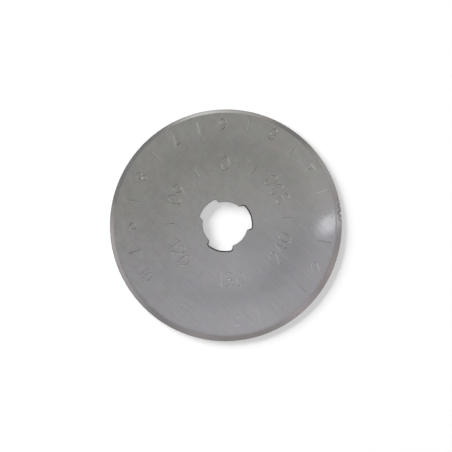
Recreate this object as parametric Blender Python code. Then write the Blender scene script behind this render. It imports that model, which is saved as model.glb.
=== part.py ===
"""Rotary cutter blade, 45 mm across: one piece of hardened strip steel.

The disc is blanked from 0.3 mm strip and pierced with a round bore that has three wide
notches. It is ground to a bevel on both faces, and the two bevels are honed to one
sharp edge round the rim.

The blade lies flat. The bore's axis is Z, the lower face is at z = 0, and the middle of
one notch points along +X. All lengths are in metres.
"""

import math

import bmesh
import bpy

MM = 0.001

# Blank
DIAMETER = 45.0 * MM
THICKNESS = 0.3 * MM

# Ground edge, alike on both faces
BEVEL_WIDTH = 0.93 * MM  # measured along the radius, the honed band included
HONE_WIDTH = 0.06 * MM  # the finer band at the very edge
HONE_ANGLE = math.radians(16.0)  # between the honed band and the blade's middle plane

# Pierced bore
BORE_RADIUS = 4.4 * MM  # to the lands that stand between the notches
NOTCH_COUNT = 3
NOTCH_DEPTH = 0.78 * MM  # beyond the bore radius
NOTCH_WIDTH = 4.7 * MM  # between a notch's two parallel sides
NOTCH_MOUTH_FILLET = 0.2 * MM  # where a side meets a land
NOTCH_ROOT_FILLET = 0.4 * MM  # where a side meets the notch's floor

# Fineness of the round stretches
RIM_FACETS = 240
BORE_STEP = math.radians(3.5)  # widest facet on the lands and the notch floors
FILLET_FACETS = 5
SHARP_ANGLE = math.radians(5.0)  # an edge that turns further than this is a real one

# How far the piercing punch runs past each face
PUNCH_OVERRUN = 1.0 * MM

# Ground strip steel
STEEL_COLOUR = (0.52, 0.515, 0.50, 1.0)
STEEL_ROUGHNESS = 0.34


def clear_scene():
    """Remove every object that the file holds."""
    for thing in list(bpy.data.objects):
        bpy.data.objects.remove(thing, do_unlink=True)


def ground_steel():
    """Bright steel with the satin of a surface grinder."""
    steel = bpy.data.materials.new("ground_steel")
    steel.use_nodes = True
    shader = steel.node_tree.nodes["Principled BSDF"]
    shader.inputs["Base Color"].default_value = STEEL_COLOUR
    shader.inputs["Metallic"].default_value = 1.0
    shader.inputs["Roughness"].default_value = STEEL_ROUGHNESS
    steel.diffuse_color = STEEL_COLOUR
    return steel


def arc(centre, radius, start, end, facets):
    """Points on an arc, both ends included."""
    points = []
    for i in range(facets + 1):
        angle = start + (end - start) * i / facets
        points.append((centre[0] + radius * math.cos(angle), centre[1] + radius * math.sin(angle)))
    return points


def facets_for(sweep):
    """How many facets keep an arc of this sweep no coarser than BORE_STEP."""
    return max(2, math.ceil(abs(sweep) / BORE_STEP))


def turned(point, angle):
    """The point, turned about the bore's axis."""
    x, y = point
    return (
        x * math.cos(angle) - y * math.sin(angle),
        x * math.sin(angle) + y * math.cos(angle),
    )


def bore_outline():
    """The bore's outline, anticlockwise: a floor, a root fillet, a side, a mouth fillet and a
    land, once round for every notch.

    Each fillet is an arc that is tangent to the notch's straight side and to the land or the
    floor, so its centre follows from the radii and the half width of the notch.
    """
    half_width = NOTCH_WIDTH / 2
    floor_radius = BORE_RADIUS + NOTCH_DEPTH
    pitch = 2 * math.pi / NOTCH_COUNT

    root_y = half_width - NOTCH_ROOT_FILLET
    root_x = math.sqrt((floor_radius - NOTCH_ROOT_FILLET) ** 2 - root_y**2)
    root_angle = math.atan2(root_y, root_x)

    mouth_y = half_width + NOTCH_MOUTH_FILLET
    mouth_x = math.sqrt((BORE_RADIUS + NOTCH_MOUTH_FILLET) ** 2 - mouth_y**2)
    mouth_angle = math.atan2(mouth_y, mouth_x)

    floor = arc((0, 0), floor_radius, -root_angle, root_angle, facets_for(2 * root_angle))
    root = arc((root_x, root_y), NOTCH_ROOT_FILLET, root_angle, math.pi / 2, FILLET_FACETS)
    mouth = arc(
        (mouth_x, mouth_y), NOTCH_MOUTH_FILLET, -math.pi / 2, mouth_angle - math.pi, FILLET_FACETS
    )
    land_sweep = pitch - 2 * mouth_angle
    land = arc((0, 0), BORE_RADIUS, mouth_angle, pitch - mouth_angle, facets_for(land_sweep))

    # Each arc starts where the one before it ends, so that point is kept once.
    leading_half = floor + root[1:] + mouth + land[1:]
    next_mouth = [turned((x, -y), pitch) for x, y in reversed(mouth)]
    next_root = [turned((x, -y), pitch) for x, y in reversed(root)]
    sector = leading_half + next_mouth[1:] + next_root[:-1]
    return [turned(point, pitch * i) for i in range(NOTCH_COUNT) for point in sector]


def edge_section():
    """The rim's section as (radius, height), from the lower face's bevel round the edge to the
    upper one's."""
    rim = DIAMETER / 2
    middle = THICKNESS / 2
    hone_height = HONE_WIDTH * math.tan(HONE_ANGLE)
    return [
        (rim - BEVEL_WIDTH, 0.0),
        (rim - HONE_WIDTH, middle - hone_height),
        (rim, middle),
        (rim - HONE_WIDTH, middle + hone_height),
        (rim - BEVEL_WIDTH, THICKNESS),
    ]


def ground_blank():
    """The solid disc with its ground edge: the edge's section, spun and closed by two flat
    faces."""
    mesh = bmesh.new()
    section = [mesh.verts.new((radius, 0.0, height)) for radius, height in edge_section()]
    edges = [mesh.edges.new(pair) for pair in zip(section, section[1:])]
    bmesh.ops.spin(
        mesh,
        geom=section + edges,
        cent=(0, 0, 0),
        axis=(0, 0, 1),
        angle=2 * math.pi,
        steps=RIM_FACETS,
        use_merge=True,
    )
    open_rings = [edge for edge in mesh.edges if edge.is_boundary]
    bmesh.ops.holes_fill(mesh, edges=open_rings, sides=0)
    bmesh.ops.recalc_face_normals(mesh, faces=mesh.faces)
    return finished(mesh, "blade")


def piercing_punch():
    """The cutter that leaves the bore: its outline, drawn through both faces."""
    mesh = bmesh.new()
    outline = [mesh.verts.new((x, y, -PUNCH_OVERRUN)) for x, y in bore_outline()]
    base = mesh.faces.new(outline)
    drawn = bmesh.ops.extrude_face_region(mesh, geom=[base])
    top = [item for item in drawn["geom"] if isinstance(item, bmesh.types.BMVert)]
    bmesh.ops.translate(mesh, verts=top, vec=(0, 0, THICKNESS + 2 * PUNCH_OVERRUN))
    bmesh.ops.recalc_face_normals(mesh, faces=mesh.faces)
    punch = finished(mesh, "bore_punch")
    punch.hide_render = True
    punch.display_type = "WIRE"
    return punch


def pierce(blank, punch):
    """Cut the punch's shape out of the blank, and put the punch away."""
    cut = blank.modifiers.new("pierce_bore", "BOOLEAN")
    cut.operation = "DIFFERENCE"
    cut.solver = "EXACT"
    cut.object = punch
    graph = bpy.context.evaluated_depsgraph_get()
    solid_disc = blank.data
    blank.data = bpy.data.meshes.new_from_object(blank.evaluated_get(graph))
    blank.modifiers.remove(cut)
    bpy.data.objects.remove(punch, do_unlink=True)
    bpy.data.meshes.remove(solid_disc)
    blank.data.name = blank.name


def finished(mesh, name):
    """A scene object from a finished mesh."""
    data = bpy.data.meshes.new(name)
    mesh.to_mesh(data)
    mesh.free()
    thing = bpy.data.objects.new(name, data)
    bpy.context.scene.collection.objects.link(thing)
    return thing


def build_blade():
    """The blade: the ground blank, pierced, with its round stretches shaded smooth."""
    blade = ground_blank()
    pierce(blade, piercing_punch())
    blade.data.materials.clear()
    blade.data.materials.append(ground_steel())
    blade.data.shade_smooth()
    blade.data.set_sharp_from_angle(angle=SHARP_ANGLE)
    return blade


clear_scene()
build_blade()
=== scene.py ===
"""Looks of the rotary cutter blade: ground strip steel, stamped with two rings of numbers.

The frame is the CAD model's: metres, the bore's axis on Z, the lower face at z = 0, and the
middle of one notch along +X. Directions that are read off the photograph count from its
right-hand side, anticlockwise, and in_photo() turns them into the frame's.
"""

import logging
import math
from dataclasses import dataclass, field
from enum import Enum
from typing import Any, Callable, Sequence

import bmesh
import bpy
import numpy as np
from mathutils import Matrix, Vector
from mathutils.geometry import delaunay_2d_cdt


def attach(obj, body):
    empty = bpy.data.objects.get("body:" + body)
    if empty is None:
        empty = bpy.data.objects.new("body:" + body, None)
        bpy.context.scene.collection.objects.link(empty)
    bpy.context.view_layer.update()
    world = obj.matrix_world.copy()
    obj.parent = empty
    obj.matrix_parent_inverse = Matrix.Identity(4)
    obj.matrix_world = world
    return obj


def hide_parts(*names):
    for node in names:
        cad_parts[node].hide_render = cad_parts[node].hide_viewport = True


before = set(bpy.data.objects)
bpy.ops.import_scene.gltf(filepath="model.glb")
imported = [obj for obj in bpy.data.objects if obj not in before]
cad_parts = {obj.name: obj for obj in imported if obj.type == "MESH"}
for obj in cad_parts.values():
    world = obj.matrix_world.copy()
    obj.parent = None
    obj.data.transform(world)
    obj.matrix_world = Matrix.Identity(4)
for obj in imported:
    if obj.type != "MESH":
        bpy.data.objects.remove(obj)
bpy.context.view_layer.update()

MM = 0.001
PHOTO_TURN = math.radians(18.0)  # how far the blade lies turned in the photograph

log = logging.getLogger("rotary_cutter_blade")

Point = tuple[float, float]
Triple = tuple[float, float, float]
Colour = Triple
Ramp = tuple[float, float, float, float]  # from, to, the value at the start and at the end

WHITE: Colour = (1.0, 1.0, 1.0)
HOURS = (3, 4, 5, 6, 7, 8, 9, 10, 11, 12, 1, 2)
DEGREES = (0, 60, 120, 180, 240, 300)


def in_photo(degrees: float) -> float:
    """The frame's angle, in radians, for a direction in the photograph, in degrees."""
    return math.radians(degrees) - PHOTO_TURN


def polar(radius: float, angle: float, centre: Point = (0.0, 0.0)) -> Point:
    """The point at this radius and angle from a centre."""
    return (centre[0] + radius * math.cos(angle), centre[1] + radius * math.sin(angle))


def clamped(value: float) -> float:
    """The value, kept between 0 and 1."""
    return min(max(value, 0.0), 1.0)


def arc(centre: Point, radii: Point, start: float, end: float, facets: int) -> list[Point]:
    """Points along a stretch of an ellipse.

    Args:
        centre: The ellipse's centre.
        radii: Its radii along X and Y.
        start: The angle of the first point, in degrees.
        end: The angle of the last one.
        facets: How many straight stretches join them.

    Returns:
        The points, both ends included.
    """
    angles = [math.radians(start + (end - start) * i / facets) for i in range(facets + 1)]
    return [
        (centre[0] + radii[0] * math.cos(angle), centre[1] + radii[1] * math.sin(angle))
        for angle in angles
    ]


def is_triple(value: Any) -> bool:
    """Whether a wire or a plain value holds three channels."""
    if isinstance(value, Wire):
        return value.socket.type in {"VECTOR", "RGBA"}
    return isinstance(value, (tuple, list, Vector))


def operator(operation: str, swapped: bool = False) -> Callable[["Wire", Any], "Wire"]:
    """Make the method behind one operator of a wire.

    Args:
        operation: The Math or Vector Math operation.
        swapped: Whether the other side comes first, as in a reflected operator.

    Returns:
        The method.
    """

    def joined(self: "Wire", other: Any) -> "Wire":
        """Add the operator's node to the tree."""
        sides = (other, self) if swapped else (self, other)
        kind = "ShaderNodeMath"
        if any(is_triple(side) for side in sides):
            kind = "ShaderNodeVectorMath"
            sides = tuple((side,) * 3 if isinstance(side, (int, float)) else side for side in sides)
        return self.graph.node(kind, {"operation": operation}, dict(enumerate(sides)))

    return joined


class Wire:
    """An output socket that takes part in Python expressions.

    An expression on numbers adds Math nodes to the socket's tree. One that holds a vector or a
    colour adds Vector Math nodes, which keep all three channels.
    """

    def __init__(self, graph: "Graph", socket: bpy.types.NodeSocket) -> None:
        """Wrap one output socket of the graph."""
        self.graph = graph
        self.socket = socket

    def sibling(self, output: str) -> "Wire":
        """Another output of the same node, by name."""
        return Wire(self.graph, self.socket.node.outputs[output])

    __add__ = operator("ADD")
    __radd__ = operator("ADD", swapped=True)
    __sub__ = operator("SUBTRACT")
    __rsub__ = operator("SUBTRACT", swapped=True)
    __mul__ = operator("MULTIPLY")
    __rmul__ = operator("MULTIPLY", swapped=True)
    __truediv__ = operator("DIVIDE")
    __rtruediv__ = operator("DIVIDE", swapped=True)


class Graph:
    """A node tree that is written as Python expressions."""

    def __init__(self, tree: bpy.types.NodeTree) -> None:
        """Start from an empty tree."""
        self.tree = tree
        self.tree.nodes.clear()

    def node(
        self,
        kind: str,
        settings: dict[str, Any] | None = None,
        inputs: dict[Any, Any] | None = None,
        output: int | str = 0,
    ) -> Wire:
        """Add a node of any kind.

        Args:
            kind: The node's type.
            settings: Its properties, which are set before its sockets.
            inputs: What its sockets take, by name or place: a wire or a plain value.
            output: Which output to hand back.

        Returns:
            That output.
        """
        made = self.tree.nodes.new(kind)
        for name, value in (settings or {}).items():
            setattr(made, name, value)
        for key, value in (inputs or {}).items():
            if isinstance(value, Wire):
                self.tree.links.new(value.socket, made.inputs[key])
            else:
                made.inputs[key].default_value = value
        return Wire(self, made.outputs[output] if made.outputs else None)

    def maths(self, operation: str, *values: Any) -> Wire:
        """A Math node for what has no operator, such as a sine."""
        return self.node("ShaderNodeMath", {"operation": operation}, dict(enumerate(values)))

    def vector(self, **parts: Any) -> Wire:
        """A vector of the given X, Y and Z, with 0 for those left out."""
        return self.node("ShaderNodeCombineXYZ", {}, parts)

    def dot(self, first: Any, second: Any) -> Wire:
        """The dot product of two vectors."""
        setting = {"operation": "DOT_PRODUCT"}
        return self.node("ShaderNodeVectorMath", setting, {0: first, 1: second}, output="Value")

    def length(self, vector: Wire) -> Wire:
        """The length of a vector."""
        return self.node("ShaderNodeVectorMath", {"operation": "LENGTH"}, {0: vector}, "Value")

    def toward(self, place: Wire, angle: float, reach: float = 1.0) -> Wire:
        """How far a place lies toward a direction, as a share of a reach."""
        return self.dot(place, (*polar(1 / reach, angle), 0.0))

    def ramped(
        self, value: Wire, low: float, high: float, start: float = 0.0, end: float = 1.0
    ) -> Wire:
        """A smooth step.

        Args:
            value: What runs from low to high.
            low: Where the step begins.
            high: Where it ends.
            start: The result up to low.
            end: The result from high on.

        Returns:
            The smoothed value.
        """
        return self.node(
            "ShaderNodeMapRange",
            {"interpolation_type": "SMOOTHSTEP"},
            {"Value": value, "From Min": low, "From Max": high, "To Min": start, "To Max": end},
        )

    def near(self, place: Wire, centre: Point, inner: float, outer: float) -> Wire:
        """1 up to the inner distance from a point, and 0 from the outer one on."""
        return self.ramped(self.length(place - (*centre, 0.0)), inner, outer, 1.0, 0.0)

    def mixed(self, factor: Wire, first: Any, second: Any) -> Wire:
        """A colour between two others.

        Args:
            factor: 0 for the first colour, 1 for the second.
            first: A wire, or three channels.
            second: A wire, or three channels.

        Returns:
            The colour.
        """
        ends = [end if isinstance(end, Wire) else (*end, 1.0) for end in (first, second)]
        inputs = {0: factor, 6: ends[0], 7: ends[1]}
        return self.node("ShaderNodeMix", {"data_type": "RGBA"}, inputs, output=2)

    def mapped(self, place: Wire, turn: float, size: Triple, centre: Point = (0.0, 0.0)) -> Wire:
        """A place in the units of a pattern.

        Args:
            place: The place.
            turn: How far the pattern is turned about Z.
            size: Its unit along each of its own axes.
            centre: Where it starts.

        Returns:
            The place as the pattern counts it.
        """
        return self.node(
            "ShaderNodeMapping",
            {"vector_type": "TEXTURE"},
            {"Vector": place, "Location": (*centre, 0.0), "Rotation": (0.0, 0.0, turn), "Scale": size},
        )

    def noise(self, vector: Wire, detail: float = 2.0, roughness: float = 0.5) -> Wire:
        """Noise about one unit of the vector in size, spread round zero.

        Args:
            vector: Where it is read.
            detail: How many finer layers it has.
            roughness: How strong they are.

        Returns:
            A value mostly between -1 and 1.
        """
        raw = self.node(
            "ShaderNodeTexNoise",
            {"noise_dimensions": "3D"},
            {"Vector": vector, "Scale": 1.0, "Detail": detail, "Roughness": roughness},
        )
        return (raw - 0.5) * 3.0


def new_paint(name: str) -> tuple[bpy.types.Material, Graph]:
    """A new material, and the graph that its nodes go into."""
    paint = bpy.data.materials.new(name)
    paint.use_nodes = True
    return paint, Graph(paint.node_tree)


def linked(name: str, data: bpy.types.ID) -> bpy.types.Object:
    """A new object in the scene."""
    thing = bpy.data.objects.new(name, data)
    bpy.context.scene.collection.objects.link(thing)
    return thing


def as_object(
    name: str, mesh: bmesh.types.BMesh, material: bpy.types.Material
) -> bpy.types.Object:
    """Turn a finished mesh into an object of the scene.

    Args:
        name: The object's name.
        mesh: The mesh, which is freed.
        material: Its material.

    Returns:
        The object.
    """
    data = bpy.data.meshes.new(name)
    mesh.to_mesh(data)
    mesh.free()
    data.materials.append(material)
    return linked(name, data)


class GroundFace(Enum):
    """The blade's two faces."""

    UPPER = "upper"
    LOWER = "lower"


@dataclass(frozen=True)
class Nick:
    """A small bite out of the rim, where the edge has hit a pin or a ruler."""

    angle: float  # in the photograph, in degrees
    width: float  # along the rim
    depth: float  # into the blade

    def bite(self, angle: float, rim: float) -> float:
        """How far the rim stands back at one angle.

        Args:
            angle: The angle about the axis, in radians.
            rim: The radius of the sound rim.

        Returns:
            The setback in metres.
        """
        away = math.remainder(angle - in_photo(self.angle), math.tau) * rim
        share = clamped(abs(away) / (self.width / 2))
        return self.depth * (1 - share**2) ** 2


@dataclass
class Bore:
    """The pierced hole: a round bore with three wide notches, and the lip that the punch drew."""

    radius: float = 4.4 * MM
    notch_count: int = 3
    notch_depth: float = 0.78 * MM
    notch_width: float = 4.7 * MM
    mouth_fillet: float = 0.2 * MM
    root_fillet: float = 0.4 * MM
    land_facets: int = 16
    floor_facets: int = 16
    fillet_facets: int = 6
    lip_width: float = 0.09 * MM  # the rounding that the punch drew down at the upper face
    heavy_lip_width: float = 0.32 * MM  # the same, in the notches where the die stood wide
    heavy_side: float = in_photo(-42)
    heavy_from: float = -0.35  # the cosine of the angle off that side where the lip starts to grow
    heavy_span: float = 0.5  # over which it grows to its full width
    floor_gain: float = 1.6  # how soon it grows from a land down to a notch's floor
    lip_slope: float = 0.5  # the lip's depth as a share of its width
    lip_rings: int = 6
    break_height: float = 0.1 * MM  # below this the slug broke away and left a taper
    break_width: float = 0.015 * MM

    def outline(self, setback: float = 0.0) -> list[Point]:
        """The bore's outline, anticlockwise from the middle of the notch on +X.

        Args:
            setback: How far into the steel the outline is moved.

        Returns:
            The same number of points for any setback, each of them moved square to the outline.
        """
        half_width = self.notch_width / 2
        floor_radius = self.radius + self.notch_depth
        pitch = 360.0 / self.notch_count

        root_y = half_width - self.root_fillet
        root_x = math.sqrt((floor_radius - self.root_fillet) ** 2 - root_y**2)
        root_angle = math.degrees(math.atan2(root_y, root_x))
        mouth_y = half_width + self.mouth_fillet
        mouth_x = math.sqrt((self.radius + self.mouth_fillet) ** 2 - mouth_y**2)
        mouth_angle = math.degrees(math.atan2(mouth_y, mouth_x))

        floor = floor_radius + setback
        land = self.radius + setback
        root = self.root_fillet + setback
        mouth = self.mouth_fillet - setback
        facets = self.fillet_facets
        sector = arc((0, 0), (floor, floor), -root_angle, root_angle, self.floor_facets)
        sector += arc((root_x, root_y), (root, root), root_angle, 90, facets)[1:]
        sector += arc((mouth_x, mouth_y), (mouth, mouth), -90, mouth_angle - 180, facets)
        sector += arc((0, 0), (land, land), mouth_angle, pitch - mouth_angle, self.land_facets)[1:]
        next_side = arc((mouth_x, -mouth_y), (mouth, mouth), 180 - mouth_angle, 90, facets)[1:]
        next_side += arc((root_x, -root_y), (root, root), -90, -root_angle, facets)[:-1]
        turns = [Matrix.Rotation(math.radians(pitch * i), 2) for i in range(self.notch_count)]
        sector += [tuple(turns[1] @ Vector(point)) for point in next_side]
        return [tuple(turn @ Vector(point)) for turn in turns for point in sector]

    def lip_at(self, point: Vector) -> float:
        """How wide the lip is at one point of the outline.

        Args:
            point: The point.

        Returns:
            The width: small on the lands, and large on the floors of the heavy side's notches.
        """
        notched = clamped(self.floor_gain * (point.length - self.radius) / self.notch_depth)
        toward = point.normalized().dot(Vector(polar(1.0, self.heavy_side)))
        heavy = clamped((toward - self.heavy_from) / self.heavy_span)
        return self.lip_width + (self.heavy_lip_width - self.lip_width) * notched * heavy

    def rings(self, thickness: float) -> list[list[Vector]]:
        """The wall's rings of points, from the upper face down to the lower one.

        Args:
            thickness: The height of the upper face.

        Returns:
            The rounded lip's rings, then the two that bound the taper.
        """
        edge = [Vector(point) for point in self.outline()]
        moved = [Vector(point) for point in self.outline(self.lip_width)]
        around = [
            (start, (end - start) / self.lip_width, self.lip_at(start))
            for start, end in zip(edge, moved)
        ]
        rings = []
        for i in range(self.lip_rings + 1):
            turn = math.pi / 2 * i / self.lip_rings
            setback = 1 - math.sin(turn)
            drop = self.lip_slope * (1 - math.cos(turn))
            rings.append(
                [
                    Vector((*(point + normal * width * setback), thickness - width * drop))
                    for point, normal, width in around
                ]
            )
        for setback, height in ((0.0, self.break_height), (self.break_width, 0.0)):
            rings.append(
                [Vector((*(point + normal * setback), height)) for point, normal, _ in around]
            )
        return rings


@dataclass
class GroundEdge:
    """The rim: a ground bevel on both faces, and a fine honed band at the very edge."""

    diameter: float = 45.0 * MM
    thickness: float = 0.3 * MM
    bevel_width: float = 0.93 * MM
    hone_width: float = 0.06 * MM
    hone_angle: float = math.radians(16.0)
    facets: int = 900
    crest_shift: float = 0.22 * MM  # the upper bevel is ground this far off centre
    crest_shift_toward: float = in_photo(105)
    roll_width: float = 0.22 * MM  # over which a flat face rolls into its bevel
    worn_roll_width: float = 0.75 * MM  # the same, on the upper face's worn side
    worn_side: float = in_photo(-75)
    wear_middle: float = 0.2
    wear_swing: float = 1.5  # how far the wear goes up and down from its middle, round the crest
    roll_rings: int = 5
    hollow: float = 0.14  # how much the worn side's slope eases off toward the edge
    blunt_width: float = 0.012 * MM  # what a nick leaves of the edge's section
    nicks: tuple[Nick, ...] = (
        Nick(15.4, 0.25 * MM, 0.04 * MM),
        Nick(12.5, 0.35 * MM, 0.07 * MM),
        Nick(9.0, 0.45 * MM, 0.09 * MM),
        Nick(5.4, 0.62 * MM, 0.21 * MM),
        Nick(3.0, 0.55 * MM, 0.09 * MM),
        Nick(19.8, 0.3 * MM, 0.04 * MM),
        Nick(-51.0, 0.3 * MM, 0.05 * MM),
        Nick(203.0, 0.35 * MM, 0.05 * MM),
    )

    @property
    def rim(self) -> float:
        """The blade's radius."""
        return self.diameter / 2

    @property
    def crest_radius(self) -> float:
        """The radius of the circle where a flat face meets its bevel."""
        return self.rim - self.bevel_width

    @property
    def crest_centre(self) -> Point:
        """The centre of that circle on the upper face."""
        return polar(self.crest_shift, self.crest_shift_toward)

    @property
    def angles(self) -> list[float]:
        """The angles of the points round the edge."""
        return [math.tau * i / self.facets for i in range(self.facets)]

    def wear(self, face: GroundFace, angle: float) -> float:
        """How worn the bevel's crest is: from 0 where it is crisp to 1 where it is rolled."""
        if face is GroundFace.LOWER:
            return 0.0
        return clamped(self.wear_middle + self.wear_swing * math.cos(angle - self.worn_side))

    def roll(self, wear: float) -> float:
        """The width over which a flat face rolls into its bevel."""
        return self.roll_width + (self.worn_roll_width - self.roll_width) * wear

    def crest(self, face: GroundFace) -> list[Point]:
        """The points where a flat face starts to roll into its bevel."""
        centre = self.crest_centre if face is GroundFace.UPPER else (0.0, 0.0)
        points = []
        for angle in self.angles:
            inward = self.roll(self.wear(face, angle)) / 2
            points.append(polar(self.crest_radius - inward, angle, centre))
        return points

    def drop(self, share: float, roll: float, hollow: float) -> float:
        """How far the bevel has fallen part of the way along it.

        Args:
            share: How far along, from 0 at its crest to 1 at the honed band.
            roll: The share of its width over which it rolls over.
            hollow: How much its slope eases off from there to the honed band.

        Returns:
            The fall, as a share of the bevel's whole fall.
        """

        def fallen(along: float) -> float:
            """The fall so far, on a scale of its own."""
            if along <= roll:
                return along**2 / (2 * roll)
            beyond = along - roll
            return roll / 2 + beyond - hollow * beyond**2 / (2 * (1 - roll))

        return fallen(share) / fallen(1.0)

    def rings(self, face: GroundFace) -> list[list[Vector]]:
        """The bevel's rings of points on one face, from its crest outward.

        Args:
            face: Which face.

        Returns:
            The rings across its roll, one half way along the rest, and one at the honed band.
        """
        middle = self.thickness / 2
        side = 1 if face is GroundFace.UPPER else -1
        fall = middle - self.hone_width * math.tan(self.hone_angle)
        hone_radius = self.rim - self.hone_width
        rings = [[] for _ in range(self.roll_rings + 2)]
        for angle, crest in zip(self.angles, self.crest(face)):
            wear = self.wear(face, angle)
            width = hone_radius - math.hypot(*crest)
            roll = self.roll(wear) / width
            reach = min(hone_radius, self.rim_at(angle) - self.blunt_width)
            shares = [roll * (k + 1) / self.roll_rings for k in range(self.roll_rings)]
            shares += [(1 + roll) / 2, 1 - (hone_radius - reach) / width]
            start, end = Vector(crest), Vector(polar(hone_radius, angle))
            for ring, share in zip(rings, shares):
                height = middle - fall * self.drop(share, roll, self.hollow * wear)
                ring.append(Vector((*start.lerp(end, share), middle + side * height)))
        return rings

    def rim_at(self, angle: float) -> float:
        """The rim's radius at one angle, nicks and all."""
        return self.rim - max(nick.bite(angle, self.rim) for nick in self.nicks)

    def rim_ring(self) -> list[Vector]:
        """The points of the very edge."""
        return [Vector((*polar(self.rim_at(a), a), self.thickness / 2)) for a in self.angles]


@dataclass(frozen=True)
class Groove:
    """The V-shaped line that a stamp leaves along a path on the face."""

    path: tuple[Point, ...]
    closed: bool
    half_width: float
    depth: float
    sharpest: float = 0.4  # the cosine at which a corner's mitre is cut short
    faintest: float = 0.03  # what is shallower than this share of the depth is left flat

    def offset(self, side: float) -> list[Point]:
        """The path moved sideways, with mitred corners.

        Args:
            side: How far, to the path's left, or to its right where it is negative.

        Returns:
            One point for each point of the path.
        """
        count = len(self.path)
        moved = []
        for i, point in enumerate(self.path):
            normals = []
            if self.closed or i > 0:
                normals.append(left_of(self.path[i - 1], point))
            if self.closed or i + 1 < count:
                normals.append(left_of(point, self.path[(i + 1) % count]))
            mean = sum(normals, Vector((0, 0))).normalized()
            mitre = 1 / max(mean.dot(normals[0]), self.sharpest)
            moved.append(tuple(Vector(point) + mean * side * mitre))
        return moved

    def lips(self) -> list[list[Point]]:
        """The closed outlines where the groove meets the face."""
        left, right = self.offset(self.half_width), self.offset(-self.half_width)
        if self.closed:
            return [left, right]
        far_end = self.cap(self.path[-2], self.path[-1])
        return [left + far_end + right[::-1] + self.cap(self.path[1], self.path[0])]

    def cap(self, before: Point, end: Point) -> list[Point]:
        """The points round one end of an open path, clockwise."""
        across = left_of(before, end)
        start = math.atan2(across.y, across.x)
        return [polar(self.half_width, start - math.pi * k / 4, end) for k in (1, 2, 3)]


def left_of(start: Point, end: Point) -> Vector:
    """The unit vector to the left of a straight stretch."""
    along = (Vector(end) - Vector(start)).normalized()
    return Vector((-along.y, along.x))


def oval(centre: Point, radii: Point, facets: int = 16) -> list[Point]:
    """A closed ellipse, without its last point."""
    return arc(centre, radii, 90, 450, facets)[:-1]


class Digits:
    """Single-line figures, as a pantograph cuts them, in a cell one unit tall."""

    WIDTH = 0.58
    GAP = 0.24
    NARROW_WIDTH = 0.3  # the cell of a 1

    LOOPS: dict[str, list[list[Point]]] = {
        "0": [oval((0.29, 0.5), (0.29, 0.5), 20)],
        "6": [oval((0.29, 0.3), (0.28, 0.3))],
        "8": [oval((0.29, 0.76), (0.23, 0.24)), oval((0.29, 0.26), (0.29, 0.26))],
        "9": [oval((0.29, 0.7), (0.28, 0.3))],
    }
    LINES: dict[str, list[list[Point]]] = {
        "1": [[(0.0, 0.78), (0.24, 1.0), (0.24, 0.0)]],
        "2": [arc((0.29, 0.72), (0.28, 0.28), 165, -38, 9) + [(0.01, 0.0), (0.58, 0.0)]],
        "3": [
            arc((0.28, 0.755), (0.27, 0.245), 150, -90, 10)
            + arc((0.28, 0.255), (0.3, 0.255), 90, -150, 11)[1:]
        ],
        "4": [[(0.43, 0.0), (0.43, 1.0)], [(0.4, 0.95), (0.0, 0.3), (0.6, 0.3)]],
        "5": [[(0.52, 1.0), (0.1, 1.0)] + arc((0.27, 0.31), (0.3, 0.32), 132, -150, 12)],
        "6": [arc((0.62, 0.34), (0.61, 0.66), 103, 178, 7)],
        "7": [[(0.0, 1.0), (0.58, 1.0), (0.2, 0.0)]],
        "9": [arc((-0.04, 0.66), (0.61, 0.66), -77, -2, 7)],
    }

    @classmethod
    def advance(cls, figure: str) -> float:
        """The width of one figure's cell."""
        return cls.NARROW_WIDTH if figure == "1" else cls.WIDTH

    @classmethod
    def paths(cls, number: int) -> list[tuple[list[Point], bool]]:
        """The pen's paths for a number.

        Args:
            number: The number.

        Returns:
            Each path with whether it is closed, centred on the middle of the number, in
            units of its height.
        """
        figures = str(number)
        total = sum(cls.advance(figure) for figure in figures) + cls.GAP * (len(figures) - 1)
        cursor = -total / 2
        paths = []
        for figure in figures:
            for store, closed in ((cls.LOOPS, True), (cls.LINES, False)):
                for path in store.get(figure, []):
                    paths.append(([(x + cursor, y - 0.5) for x, y in path], closed))
            cursor += cls.advance(figure) + cls.GAP
        return paths


@dataclass
class NumberRing:
    """Numbers stamped round a circle, with their tops toward its centre."""

    numbers: Sequence[int]
    first_angle: float  # in the photograph, in degrees
    pitch: float  # degrees
    radius: float
    height: float
    line_width: float
    depth: float

    def grooves(self, stamp: "Stamp") -> list[Groove]:
        """The grooves of every number.

        Args:
            stamp: The stamp that the ring belongs to.

        Returns:
            One groove for each of the pen's paths.
        """
        made = []
        for i, number in enumerate(self.numbers):
            outward = Vector(polar(1.0, in_photo(self.first_angle + self.pitch * i)))
            along = Vector((-outward.y, outward.x))
            middle = Vector(stamp.centre) + outward * self.radius
            pressure = stamp.pressure(middle)
            for path, closed in Digits.paths(number):
                placed = tuple(
                    tuple(middle + (along * x - outward * y) * self.height) for x, y in path
                )
                half_width = self.line_width / 2 * pressure
                made.append(Groove(placed, closed, half_width, self.depth * pressure))
        return made


@dataclass
class TickRing:
    """Straight graduations stamped round a circle, with places left out for the numbers."""

    places: int
    skip_every: int  # one place in this many is left for a number
    first_angle: float  # in the photograph, in degrees
    radius: float
    length: float
    width: float
    depth: float


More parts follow.
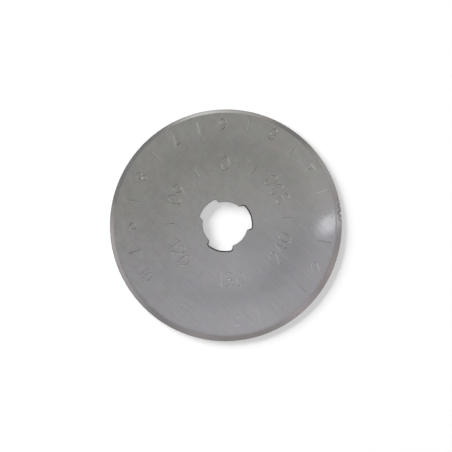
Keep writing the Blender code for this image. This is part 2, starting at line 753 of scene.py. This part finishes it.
@dataclass
class Stamp:
    """The stamped marks: a ring of hours, and a ring of degrees inside it."""

    centre: Point = polar(0.82 * MM, in_photo(43))  # the stamp struck off the blade's axis
    even_pressure: float = 0.72
    uneven_pressure: float = 0.36
    least_pressure: float = 0.35
    heavy_side: float = in_photo(95)
    reach: float = 19.05 * MM
    worn_place: Point = polar(20.1 * MM, in_photo(0.5))  # where a rub has worn the marks away
    worn_reach: float = 3.2 * MM
    worn_share: float = 0.75
    number_rings: tuple[NumberRing, ...] = (
        NumberRing(HOURS, 3.0, 30.0, 19.05 * MM, 2.1 * MM, 0.36 * MM, 0.066 * MM),
        NumberRing(DEGREES, 93.0, 60.0, 11.25 * MM, 2.6 * MM, 0.4 * MM, 0.073 * MM),
    )
    tick_rings: tuple[TickRing, ...] = (
        TickRing(24, 2, 3.0, 19.05 * MM, 2.6 * MM, 0.36 * MM, 0.066 * MM),
        TickRing(12, 2, 33.0, 11.25 * MM, 1.7 * MM, 0.4 * MM, 0.073 * MM),
    )

    def pressure(self, point: Vector) -> float:
        """How deep the stamp went in at one point, as a share of the full depth."""
        heavy = Vector(polar(1.0, self.heavy_side))
        pressure = self.even_pressure + self.uneven_pressure * heavy.dot(point) / self.reach
        away = (point - Vector(self.worn_place)).length / self.worn_reach
        return max(pressure, self.least_pressure) * (1 - self.worn_share * math.exp(-(away**2)))

    def grooves(self) -> list[Groove]:
        """The grooves of all numbers."""
        return [groove for ring in self.number_rings for groove in ring.grooves(self)]

    def tick_tree(self) -> tuple[bpy.types.NodeTree, dict[str, str]]:
        """The Geometry Nodes tree that strikes a ring of ticks into a blade.

        A three-sided prism is laid along the radius at every place of the ring that isn't kept
        for a number, and all of them are cut out of the blade at once.

        Returns:
            The tree, and the identifier of each of its inputs by name.
        """
        tree = bpy.data.node_groups.new("tick_ring", "GeometryNodeTree")
        tree.interface.new_socket("Cut", in_out="OUTPUT", socket_type="NodeSocketGeometry")
        sockets = {
            "Geometry": ("Blade",),
            "Int": ("Places", "Skip Every"),
            "Float": ("Radius", "Length", "Width", "Depth", "First Angle"),
            "Vector": ("Centre", "Heavy Side"),
            "Material": ("Steel",),
        }
        identifiers = {}
        for kind, names in sockets.items():
            for name in names:
                socket_type = f"NodeSocket{kind}"
                made = tree.interface.new_socket(name, in_out="INPUT", socket_type=socket_type)
                identifiers[name] = made.identifier

        graph = Graph(tree)
        given = graph.node("NodeGroupInput", output="Blade")
        size = {name: given.sibling(name) for name in identifiers}

        def moved(geometry: Wire, **change: Any) -> Wire:
            """The geometry turned, scaled or moved."""
            return graph.node("GeometryNodeTransform", {}, {"Geometry": geometry, **change})

        # Once it lies down, the prism's point is 1 below its axis and its flat side 0.5 above it.
        # It is scaled so that they come one depth below the face and one depth above.
        shape = {"Vertices": 3, "Radius": 1.0, "Depth": 1.0}
        prism = graph.node("GeometryNodeMeshCylinder", {}, shape)
        laid = moved(prism, Rotation=(0.0, math.pi / 2, 0.0))
        width = size["Width"] * (2 / math.sqrt(3))
        scale = graph.vector(X=size["Length"], Y=width, Z=size["Depth"] * (4 / 3))
        cutter = moved(laid, Scale=scale, Translation=graph.vector(Z=size["Depth"] / 3))

        circle = {"Vertices": size["Places"], "Radius": size["Radius"]}
        ring = graph.node("GeometryNodeMeshCircle", {}, circle)
        position = graph.node("GeometryNodeInputPosition")
        align = {"axis": "X", "pivot_axis": "Z"}
        outward = graph.node("FunctionNodeAlignRotationToVector", align, {"Vector": position})
        index = graph.node("GeometryNodeInputIndex")
        free = graph.maths("GREATER_THAN", graph.maths("MODULO", index, size["Skip Every"]), 0.5)
        slant = graph.dot(position, size["Heavy Side"]) * (self.uneven_pressure / self.reach)
        pressure = graph.maths("MAXIMUM", self.even_pressure + slant, self.least_pressure)
        cutters = graph.node(
            "GeometryNodeInstanceOnPoints",
            {},
            {
                "Points": moved(ring, Rotation=graph.vector(Z=size["First Angle"])),
                "Selection": free,
                "Instance": cutter,
                "Rotation": outward,
                "Scale": graph.vector(X=1.0, Y=pressure, Z=pressure),
            },
        )
        struck = moved(cutters, Translation=size["Centre"])
        prisms = graph.node("GeometryNodeRealizeInstances", {}, {0: struck})
        cut = graph.node(
            "GeometryNodeMeshBoolean",
            {"operation": "DIFFERENCE", "solver": "EXACT"},
            {"Mesh 1": size["Blade"], "Mesh 2": prisms},
        )
        real = graph.node("GeometryNodeRealizeInstances", {}, {0: cut})
        finish = {"Geometry": real, "Material": size["Steel"]}
        steel = graph.node("GeometryNodeSetMaterial", {}, finish)
        graph.node("NodeGroupOutput", {}, {0: steel})
        return tree, identifiers

    def strike_ticks(
        self, blade: bpy.types.Object, face_height: float, steel: bpy.types.Material
    ) -> None:
        """Cut both rings of ticks into the blade, and leave it a plain mesh.

        Args:
            blade: The blade.
            face_height: The height of its upper face.
            steel: Its material.
        """
        tree, identifiers = self.tick_tree()
        for ring in self.tick_rings:
            strike = blade.modifiers.new("ticks", "NODES")
            strike.node_group = tree
            values = {name.replace("_", " ").title(): value for name, value in vars(ring).items()}
            values["First Angle"] = in_photo(ring.first_angle)
            values["Centre"] = (*self.centre, face_height)
            values["Heavy Side"] = (*polar(1.0, self.heavy_side), 0.0)
            values["Steel"] = steel
            for name, value in values.items():
                strike[identifiers[name]] = value
        graph = bpy.context.evaluated_depsgraph_get()
        plain = bpy.data.meshes.new_from_object(blade.evaluated_get(graph))
        blade.modifiers.clear()
        blade.data = plain
        plain.name = blade.name


@dataclass(frozen=True)
class GroundSteel:
    """Hardened strip steel: ground in straight lines and handled, with painted light and shade on it.

    Its lengths are in mm, and its angles are the frame's.
    """

    colour: Colour = (0.455, 0.452, 0.448)
    roughness: float = 0.3
    bevel_roughness: float = 0.2
    grain_angle: float = in_photo(137)
    grain_size: Triple = (4.2, 0.42, 1.0)
    grain_tone: float = 0.06
    grain_depth: float = 0.0012 * MM  # in metres, as the Bump node takes it
    lower_right: float = in_photo(-50)  # the photograph's lower right-hand corner
    streak_ramp: Ramp = (-0.6, 0.8, 0.5, 1.2)  # the grain shows more toward there
    mottle_ramp: Ramp = (-0.3, 0.5, 1.0, 0.15)  # and the speckle shows less
    struck_ramp: Ramp = (-0.7, 0.7, 0.25, 0.6)  # and the painted highlight in the stamped grooves is stronger
    film_side: float = in_photo(100)  # painted reflection tint: toward here the flat face is olive, and away from here violet
    film_reach: float = 10.0
    olive_film: Colour = (1.0, 0.998, 0.94)
    violet_film: Colour = (1.0, 0.994, 1.02)
    blotch_size: float = 1.5
    blotch_tone: float = 0.05
    blotch_roughness: float = 0.02
    tint_size: float = 2.6
    tint_ramp: Point = (-0.7, 0.7)
    pink_tint: Colour = (1.022, 0.99, 1.0)
    green_tint: Colour = (0.978, 1.01, 1.0)
    blue_tint: Colour = (1.0, 1.0, 1.02)
    straw_tint: Colour = (1.0, 1.0, 0.98)
    stain_centre: Point = polar(17.6, in_photo(230))
    stain_radius: float = 1.6
    stain_tone: float = 0.07
    speckle_size: float = 0.42
    speckle_tone: float = 0.07
    struck_roughness: float = 0.2  # in the stamped grooves
    struck_reach: Point = (20.7, 20.9)  # past here nothing is stamped
    # A smoother rubbed patch of the face; its mask also paints a lamp's glare onto the bevel as a
    # painted highlight.
    rub_centre: Point = polar(20.1, in_photo(0.3))
    rub_turn: float = in_photo(42)
    rub_size: Triple = (4.9, 3.2, 1000.0)
    rub_fade: Point = (0.2, 1.0)  # where it starts to fade, and ends, as shares of its size
    rub_bevel_tone: float = 0.55
    rub_roughness: float = 0.12
    rust_centre: Point = polar(21.9, in_photo(14))
    rust_reach: Point = (0.5, 2.2)
    rust_tint: Colour = (1.02, 0.965, 0.94)
    guard_radius: float = 14.0  # of a ring of painted shade, which stands for a faint dishing of the face
    guard_width: float = 2.8
    guard_side: float = in_photo(-65)  # the painted shade is darkest here
    guard_ramp: Ramp = (0.2, 1.15, 0.4, 1.0)
    guard_tone: float = 0.13
    dull_side: float = in_photo(-31)  # a wedge of painted shade runs outward from the bore here
    dull_spread: float = 0.75  # the cosine of the angle at which the wedge ends
    dull_tone: float = 0.095
    bright_side: float = in_photo(60)  # toward here the face is lighter near its rim
    bright_reach: Point = (15.8, 19.8)
    bright_ramp: Point = (-0.3, 0.6)
    bright_tone: float = 0.1
    bruise_reach: Ramp = (0.4, 0.7, 1.15, 1.45)  # start, full, fading and end, in a nick's widths
    deep_nick: float = 0.12 * MM  # in metres: round such a nick the painted shade is as dark as can be
    bruise_tone: float = 0.36
    # Painted shade: the bore's wall and the punch's lip are coloured almost black.
    wall_colour: Colour = (0.03, 0.027, 0.028)
    wall_roughness: float = 0.55
    wall_reach: Point = (6.0, 6.1)
    upper_skin: Point = (0.01, 0.002)  # below the upper face: sunk metal, and the face itself
    lower_skin: float = 0.004  # up to here from below, it is the lower face
    crest_seam: float = 0.02  # half the width over which the face's finish gives way at the crest

    def bruised(self, graph: Graph, place: Wire, edge: GroundEdge) -> Wire:
        """How dark the painted shade is on the curled metal round the nicks.

        Args:
            graph: The material's graph.
            place: The place on the blade's plane.
            edge: The rim that holds the nicks.

        Returns:
            A value from 0 to 1.
        """
        start, full, fading, end = self.bruise_reach
        curl_dark = 0.0
        for nick in edge.nicks:
            middle = polar(edge.rim / MM, in_photo(nick.angle))
            away = graph.length(place - (*middle, 0.0)) / (nick.width / MM)
            strength = min(nick.depth / self.deep_nick, 1.0)
            curl = graph.ramped(away, start, full, 0.0, strength)
            curl = curl * graph.ramped(away, fading, end, 1.0, 0.0)
            curl_dark = graph.maths("MAXIMUM", curl_dark, curl)
        return curl_dark

    def material(self, edge: GroundEdge) -> bpy.types.Material:
        """The blade's material.

        Args:
            edge: The rim, whose bevel has a finish of its own.

        Returns:
            The material.
        """
        steel, graph = new_paint("ground_steel")
        place = graph.node("ShaderNodeTexCoord", output="Object") * (1 / MM)
        flat_place = place * (1.0, 1.0, 0.0)
        radius = graph.length(flat_place)
        grain = graph.noise(graph.mapped(place, self.grain_angle, self.grain_size), roughness=0.6)
        blotches = graph.noise(place / self.blotch_size)
        speckle = graph.noise(place / self.speckle_size, detail=1.0)
        pinkness = graph.noise(place / self.tint_size + (4.0, 1.0, 0.0))
        blueness = graph.noise(place / self.tint_size + (0.0, 7.0, 3.0))

        height = graph.dot(place, (0.0, 0.0, 1.0))
        top = edge.thickness / MM
        sunk = graph.ramped(height, top - self.upper_skin[0], top - self.upper_skin[1], 1.0, 0.0)
        sunk = sunk * graph.ramped(height, 0.0, self.lower_skin)
        at_bore = graph.ramped(radius, *self.wall_reach, 1.0, 0.0)
        wall = sunk * at_bore
        crest = (edge.crest_centre[0] / MM, edge.crest_centre[1] / MM, 0.0)
        reach = graph.length(flat_place - crest)
        crest_radius = edge.crest_radius / MM
        bevel = graph.ramped(reach, crest_radius - self.crest_seam, crest_radius + self.crest_seam)
        face = 1 - bevel
        struck = sunk * (1 - at_bore) * graph.ramped(reach, *self.struck_reach, 1.0, 0.0)

        rub_and_glare_place = graph.mapped(place, self.rub_turn, self.rub_size, self.rub_centre)
        rub_and_glare = graph.ramped(graph.length(rub_and_glare_place), *self.rub_fade, 1.0, 0.0)
        # Painted shade on the curled metal round the nicks.
        curl_dark = self.bruised(graph, flat_place, edge)
        # Painted shade: a darker ring round the face, darkest toward one side.
        guard_side = graph.toward(place, self.guard_side, self.guard_radius)
        off_ring = (radius - self.guard_radius) / self.guard_width
        shade_ring = graph.maths("EXPONENT", off_ring * off_ring * -1.0)
        shade_ring = shade_ring * graph.ramped(guard_side, *self.guard_ramp)
        # Painted shade: a darker wedge that runs from the bore toward the lower right.
        heading = graph.toward(flat_place, self.dull_side) / radius
        shade_wedge = graph.ramped(heading, self.dull_spread, 1.0)
        rust = graph.near(flat_place, self.rust_centre, *self.rust_reach)
        stain = graph.near(flat_place, self.stain_centre, 0.0, self.stain_radius)
        bright_side = graph.toward(place, self.bright_side, edge.rim / MM)
        brightened = graph.ramped(radius, *self.bright_reach)
        brightened = brightened * graph.ramped(bright_side, *self.bright_ramp)
        lower_right = graph.toward(place, self.lower_right, edge.rim / MM)
        mottle = graph.ramped(lower_right, *self.mottle_ramp)
        tone = (
            1.0
            + grain * graph.ramped(lower_right, *self.streak_ramp) * self.grain_tone * face
            + blotches * self.blotch_tone
            + speckle * mottle * self.speckle_tone
            # painted highlight: the lamp's glare on the bevel
            + rub_and_glare * rub_and_glare * bevel * self.rub_bevel_tone
            + brightened * face * self.bright_tone
            # painted highlight in the stamped grooves
            + struck * graph.ramped(lower_right, *self.struck_ramp)
            - shade_ring * self.guard_tone
            - shade_wedge * self.dull_tone
            - stain * self.stain_tone
            - curl_dark * self.bruise_tone
        )

        # Painted reflection tint on the flat face: olive toward the top, violet toward the bottom.
        upward = graph.toward(place, self.film_side)
        olive = graph.ramped(upward, -self.film_reach, self.film_reach)
        pink = graph.ramped(pinkness * mottle, *self.tint_ramp)
        blue = graph.ramped(blueness, *self.tint_ramp)
        tint = (
            graph.mixed(bevel, graph.mixed(olive, self.violet_film, self.olive_film), WHITE)
            * graph.mixed(pink, self.green_tint, self.pink_tint)
            * graph.mixed(blue, self.straw_tint, self.blue_tint)
            * graph.mixed(rust * bevel, WHITE, self.rust_tint)
        )
        roughness = (
            self.roughness
            + blotches * self.blotch_roughness
            + bevel * (self.bevel_roughness - self.roughness)
            + rub_and_glare * face * (self.rub_roughness - self.roughness)
            + struck * (self.struck_roughness - self.roughness)
            + wall * (self.wall_roughness - self.roughness)
        )
        scratches = {"Strength": 1.0, "Distance": self.grain_depth, "Height": grain * face}
        shader = graph.node(
            "ShaderNodeBsdfPrincipled",
            {},
            {
                # the bore's wall and lip get painted shade
                "Base Color": graph.mixed(wall, tint * self.colour * tone, self.wall_colour),
                "Metallic": 1.0,
                "Roughness": roughness,
                "Normal": graph.node("ShaderNodeBump", {}, scratches),
            },
        )
        graph.node("ShaderNodeOutputMaterial", {}, {"Surface": shader})
        return steel


@dataclass
class Blade:
    """The blade: one piece of strip steel with its bore, its ground edge and its marks."""

    bore: Bore = field(default_factory=Bore)
    edge: GroundEdge = field(default_factory=GroundEdge)
    stamp: Stamp = field(default_factory=Stamp)
    steel: GroundSteel = field(default_factory=GroundSteel)
    sharp_angle: float = math.radians(5.0)
    flatness: float = 0.99998  # the upward part of a unit normal, on the flat faces

    def build(self) -> bpy.types.Object:
        """Make the blade and put it in the place of its CAD node.

        Returns:
            The finished piece.
        """
        mesh = bmesh.new()
        wall = [
            [mesh.verts.new(point) for point in ring]
            for ring in self.bore.rings(self.edge.thickness)
        ]
        upper_crest = self._flat_face(mesh, GroundFace.UPPER, wall[0], self.stamp.grooves())
        lower_crest = self._flat_face(mesh, GroundFace.LOWER, wall[-1], [])
        around = self.edge.rings(GroundFace.UPPER) + [self.edge.rim_ring()]
        around += self.edge.rings(GroundFace.LOWER)[::-1]
        edge = [[mesh.verts.new(point) for point in ring] for ring in around]
        for loops in (wall, [upper_crest] + edge + [lower_crest]):
            for first, second in zip(loops, loops[1:]):
                bridge(mesh, first, second)
        bmesh.ops.recalc_face_normals(mesh, faces=mesh.faces)
        log.info("blade blank: %d faces", len(mesh.faces))

        steel = self.steel.material(self.edge)
        piece = as_object("rotary_blade", mesh, steel)
        self.stamp.strike_ticks(piece, self.edge.thickness, steel)
        self._shade(piece)

        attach(piece, "root")
        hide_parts("blade")
        return piece

    def _flat_face(
        self,
        mesh: bmesh.types.BMesh,
        face: GroundFace,
        lip: list[bmesh.types.BMVert],
        grooves: list[Groove],
    ) -> list[bmesh.types.BMVert]:
        """Make one flat face between the bore's lip and the bevel, with its grooves pressed in.

        Args:
            mesh: The blade's mesh.
            face: Which face.
            lip: The points round the bore, which the mesh already holds.
            grooves: The grooves in the face.

        Returns:
            The points where the face meets the bevel, in order.
        """
        height = self.edge.thickness if face is GroundFace.UPPER else 0.0
        crest = [Vector(point) for point in self.edge.crest(face)]
        hole = [vert.co.xy.copy() for vert in lip]
        points = crest + hole
        edges = loop_edges(0, len(crest)) + loop_edges(len(crest), len(hole))
        for groove in grooves:
            outlines = [(lips, True) for lips in groove.lips()]
            for path, closed in [(groove.path, groove.closed)] + outlines:
                pairs = loop_edges(len(points), len(path))
                points += [Vector(point) for point in path]
                edges += pairs if closed else pairs[:-1]
        flat, _, triangles, origins, _, _ = delaunay_2d_cdt(points, edges, [], 0, 1e-9)

        drops = groove_drops(flat, grooves)
        given = {source: i for i, sources in enumerate(origins) for source in sources}
        at_lip = {given[len(crest) + i]: vert for i, vert in enumerate(lip)}
        verts = [
            at_lip.get(i) or mesh.verts.new((point.x, point.y, height - drop))
            for i, (point, drop) in enumerate(zip(flat, drops))
        ]
        # The triangles fill the crest's hull, so a sliver may lie outside the crest itself.
        on_crest = {given[i] for i in range(len(crest))}
        for corners in triangles:
            centre = sum((flat[i] for i in corners), Vector((0, 0))) / len(corners)
            past_crest = on_crest.issuperset(corners) and not inside(centre, crest)
            if not past_crest and not inside(centre, hole):
                mesh.faces.new([verts[i] for i in corners])
        return [verts[given[i]] for i in range(len(crest))]

    def _shade(self, piece: bpy.types.Object) -> None:
        """Smooth the round stretches, and keep the real edges sharp.

        Args:
            piece: The blade.
        """
        piece.data.shade_smooth()
        mesh = bmesh.new()
        mesh.from_mesh(piece.data)
        lip_reach = self.bore.radius + self.bore.notch_depth + 1.5 * self.bore.heavy_lip_width
        lip_floor = self.bore.break_height + 1e-6
        for edge in mesh.edges:
            at_lip = all(
                vert.co.xy.length < lip_reach and vert.co.z > lip_floor for vert in edge.verts
            )
            flat = [abs(face.normal.z) > self.flatness for face in edge.link_faces]
            gentle = at_lip or edge.calc_face_angle(0.0) < self.sharp_angle
            edge.smooth = gentle and all(flat) == any(flat)
        mesh.to_mesh(piece.data)
        mesh.free()


def loop_edges(start: int, count: int) -> list[tuple[int, int]]:
    """The edges of a closed loop of points, by number."""
    return [(start + i, start + (i + 1) % count) for i in range(count)]


def bridge(
    mesh: bmesh.types.BMesh, first: list[bmesh.types.BMVert], second: list[bmesh.types.BMVert]
) -> None:
    """Join two closed rings of the same number of points with a band of faces."""
    for i, j in loop_edges(0, len(first)):
        mesh.faces.new((first[i], first[j], second[j], second[i]))


def inside(point: Vector, outline: list[Vector]) -> bool:
    """Whether a point lies inside a closed outline."""
    result = False
    before = outline[-1]
    for corner in outline:
        if (corner.y > point.y) != (before.y > point.y):
            run, rise = before.x - corner.x, before.y - corner.y
            if point.x < run * (point.y - corner.y) / rise + corner.x:
                result = not result
        before = corner
    return result


def groove_drops(points: Sequence[Vector], grooves: Sequence[Groove]) -> list[float]:
    """How far below the face each point lies.

    Args:
        points: The points, on the face.
        grooves: The grooves.

    Returns:
        The depth of the deepest groove at each point.
    """
    where = np.array([(point.x, point.y) for point in points])
    drops = np.zeros(len(where))
    for groove in grooves:
        path = np.array(groove.path + groove.path[:1] if groove.closed else groove.path)
        low, high = path.min(0) - groove.half_width, path.max(0) + groove.half_width
        near = np.flatnonzero(((where > low) & (where < high)).all(1))
        for start, end in zip(path, path[1:]):
            along = end - start
            share = np.clip((where[near] - start) @ along / (along @ along), 0, 1)
            away = np.linalg.norm(where[near] - start - share[:, None] * along, axis=1)
            drop = groove.depth * (1 - away / groove.half_width)
            drop[drop < groove.faintest * groove.depth] = 0
            drops[near] = np.maximum(drops[near], drop)
    return drops.tolist()


@dataclass(frozen=True)
class Reflector:
    """A pale panel above the table, which the steel mirrors."""

    azimuth: float  # in the photograph, in degrees
    tilt: float  # degrees off the zenith
    spread: float  # degrees from its middle to half its strength
    strength: float
    tint: Colour = (1.0, 0.97, 0.96)

    @property
    def direction(self) -> Triple:
        """The unit vector toward the panel."""
        tilt = math.radians(self.tilt)
        return (*polar(math.sin(tilt), in_photo(self.azimuth)), math.cos(tilt))

    @property
    def sharpness(self) -> float:
        """How fast the panel fades with the cosine of the angle from its middle."""
        return math.log(2) / (1 - math.cos(math.radians(self.spread)))


@dataclass
class Studio:
    """A plain pale table under soft light, and the camera over it.

    Its azimuths are in degrees, as in the photograph.
    """

    table_radius: float = 2.5
    table_gap: float = 0.01 * MM
    table_paleness: float = 0.75
    table_glow: float = 0.27
    glow_reach: Point = (0.1, 0.6)  # how far out the table starts to turn, and is, all white
    backdrop_height: float = 1.0
    backdrop_facets: int = 96
    key_azimuth: float = 145.0
    key_height: float = 6.3  # degrees above the table
    key_distance: float = 2.0
    key_width: float = 2.1
    key_depth: float = 0.17
    key_power: float = 250.0
    room: float = 0.226
    room_tint: Colour = (1.0, 0.984, 0.975)
    far_dim: float = 0.13
    far_rise: Point = (0.66, 0.79)  # the sine of the height at which the dimness ends
    far_bright: float = 0.65
    bright_azimuth: float = -50.0
    bright_reach: Point = (0.45, 0.8)
    reflectors: tuple[Reflector, ...] = (
        Reflector(-92, 4.2, 7.0, 1.06, (1.0, 1.01, 1.08)),
        Reflector(36, 5.8, 1.9, 0.97, (1.0, 0.985, 1.09)),
        Reflector(8, 12.5, 3.5, 0.32, (1.0, 0.985, 1.0)),
        Reflector(105, 34.2, 6.0, 1.46, (1.0, 0.997, 0.973)),
        Reflector(82, 32.2, 4.0, 0.63, (1.0, 0.93, 0.82)),
        Reflector(142, 33.4, 3.5, 0.2),
        Reflector(178, 30.4, 3.6, 0.82, (1.0, 0.92, 0.89)),
        Reflector(193, 28.1, 4.5, 0.34, (1.0, 0.9, 0.87)),
        Reflector(206, 26.2, 4.0, 0.44, (1.0, 0.91, 1.08)),
        Reflector(14, 21.5, 3.8, 0.52, (1.0, 0.96, 1.1)),
        Reflector(41, 25.4, 4.0, 0.65, (1.0, 0.96, 0.88)),
        Reflector(246, 20.4, 2.9, 0.74, (1.0, 0.84, 0.86)),
        Reflector(277, 18.2, 2.4, 0.4, (1.0, 0.7, 0.6)),
        Reflector(313, 17.7, 3.1, 1.2, (1.0, 0.84, 0.87)),
        Reflector(345, 19.3, 1.9, 1.65, (1.0, 0.8, 0.75)),
        Reflector(18, 47, 19.0, 0.42, (1.0, 0.99, 1.0)),
        Reflector(198, 47, 19.0, 0.42, (1.0, 0.99, 1.0)),
        Reflector(85, 48, 11.0, 0.25),
    )
    camera_distance: float = 155.0 * MM
    camera_tilt: float = 4.4  # degrees off the blade's axis
    camera_azimuth: float = -52.0
    camera_lens: float = 63.64
    aim_right: float = 0.182 * MM
    aim_up: float = -0.334 * MM

    def table(self) -> None:
        """Lay the round table, which the blade's shadow falls on, and stand a backdrop round it."""
        angles = [math.tau * i / self.backdrop_facets for i in range(self.backdrop_facets)]
        rings = [
            [(*polar(self.table_radius, angle), height) for angle in angles]
            for height in (-self.table_gap, self.backdrop_height)
        ]
        mesh = bmesh.new()
        mesh.faces.new([mesh.verts.new(point) for point in rings[0]])
        as_object("table", mesh, self._table_paint())
        mesh = bmesh.new()
        bridge(mesh, *([mesh.verts.new(point) for point in ring] for ring in rings))
        as_object("backdrop", mesh, self._backdrop_paint())

    def _table_paint(self) -> bpy.types.Material:
        """The table's paint: matt, and lifted to white where the camera or the steel sees it."""
        paint, graph = new_paint("table_paint")
        away = graph.length(graph.node("ShaderNodeTexCoord", output="Object"))
        lift = graph.ramped(away, *self.glow_reach, self.table_glow, 1.0)
        pale = (*(self.table_paleness,) * 3, 1.0)
        matt = graph.node("ShaderNodeBsdfDiffuse", {}, {"Color": pale})
        glow = graph.node("ShaderNodeEmission", {}, {"Strength": self._seen(graph) * lift})
        both = graph.node("ShaderNodeAddShader", {}, {0: matt, 1: glow})
        graph.node("ShaderNodeOutputMaterial", {}, {"Surface": both})
        return paint

    def _backdrop_paint(self) -> bpy.types.Material:
        """The backdrop's paint: white to the camera and the steel, and no bar to other light."""
        paint, graph = new_paint("backdrop_paint")
        clear = graph.node("ShaderNodeBsdfTransparent")
        white = graph.node("ShaderNodeEmission", {}, {"Strength": 1.0})
        either = graph.node("ShaderNodeMixShader", {}, {0: self._seen(graph), 1: clear, 2: white})
        graph.node("ShaderNodeOutputMaterial", {}, {"Surface": either})
        return paint

    def _seen(self, graph: Graph) -> Wire:
        """1 for rays from the camera, or by way of a mirror or glass, and otherwise 0."""
        path = graph.node("ShaderNodeLightPath", output="Is Camera Ray")
        either = graph.maths("MAXIMUM", path, path.sibling("Is Glossy Ray"))
        return graph.maths("MAXIMUM", either, path.sibling("Is Transmission Ray"))

    def surroundings(self) -> None:
        """Set the room's soft light: even overhead, dim low down, with pale panels in it."""
        world = bpy.data.worlds.new("studio")
        world.use_nodes = True
        bpy.context.scene.world = world
        graph = Graph(world.node_tree)
        direction = graph.node("ShaderNodeTexCoord", output="Generated")
        rise = graph.dot(direction, (0.0, 0.0, 1.0))
        overhead = graph.ramped(rise, *self.far_rise, self.far_dim, self.room)
        toward = graph.toward(direction, in_photo(self.bright_azimuth))
        low_down = graph.ramped(toward, *self.bright_reach, 0.0, self.far_bright)
        light = (overhead + low_down) * self.room_tint
        for panel in self.reflectors:
            facing = graph.dot(direction, panel.direction)
            share = graph.maths("EXPONENT", (facing - 1.0) * panel.sharpness)
            light = light + share * tuple(panel.strength * channel for channel in panel.tint)
        background = graph.node("ShaderNodeBackground", {}, {"Color": light, "Strength": 1.0})
        graph.node("ShaderNodeOutputWorld", {}, {"Surface": background})

    def key(self) -> None:
        """Hang the low soft lamp that draws the blade's shadow."""
        data = bpy.data.lights.new("low_window", "AREA")
        data.shape = "RECTANGLE"
        data.size = self.key_width
        data.size_y = self.key_depth
        data.energy = self.key_power
        lamp = linked("low_window", data)
        height = math.radians(self.key_height)
        level = polar(self.key_distance * math.cos(height), in_photo(self.key_azimuth))
        lamp.location = (*level, self.key_distance * math.sin(height))
        lamp.rotation_euler = lamp.location.to_track_quat("Z", "Y").to_euler()

    def camera(self) -> None:
        """Set the camera where the photograph was taken from."""
        right = Vector((*polar(1.0, in_photo(0)), 0.0))
        up = Vector((*polar(1.0, in_photo(90)), 0.0))
        aim = right * self.aim_right + up * self.aim_up
        lean = math.radians(self.camera_tilt)
        toward = Vector((*polar(math.sin(lean), in_photo(self.camera_azimuth)), math.cos(lean)))
        across = (right - toward * right.dot(toward)).normalized()
        turn = Matrix((across, toward.cross(across), toward)).transposed()

        data = bpy.data.cameras.new("camera")
        data.lens = self.camera_lens
        data.clip_start = 0.01
        camera = linked("camera", data)
        camera.matrix_world = Matrix.Translation(aim + toward * self.camera_distance) @ turn.to_4x4()
        bpy.context.scene.camera = camera

    def build(self) -> None:
        """Set up the whole studio."""
        self.table()
        self.surroundings()
        self.key()
        self.camera()
        bpy.context.scene.view_settings.view_transform = "Standard"


def main() -> None:
    """Build the blade and the studio round it."""
    logging.basicConfig(level=logging.INFO, format="%(name)s: %(message)s")
    Studio().build()
    log.info("studio: ready")
    piece = Blade().build()
    log.info("%s: %d faces", piece.name, len(piece.data.polygons))


if __name__ == "__main__":
    main()
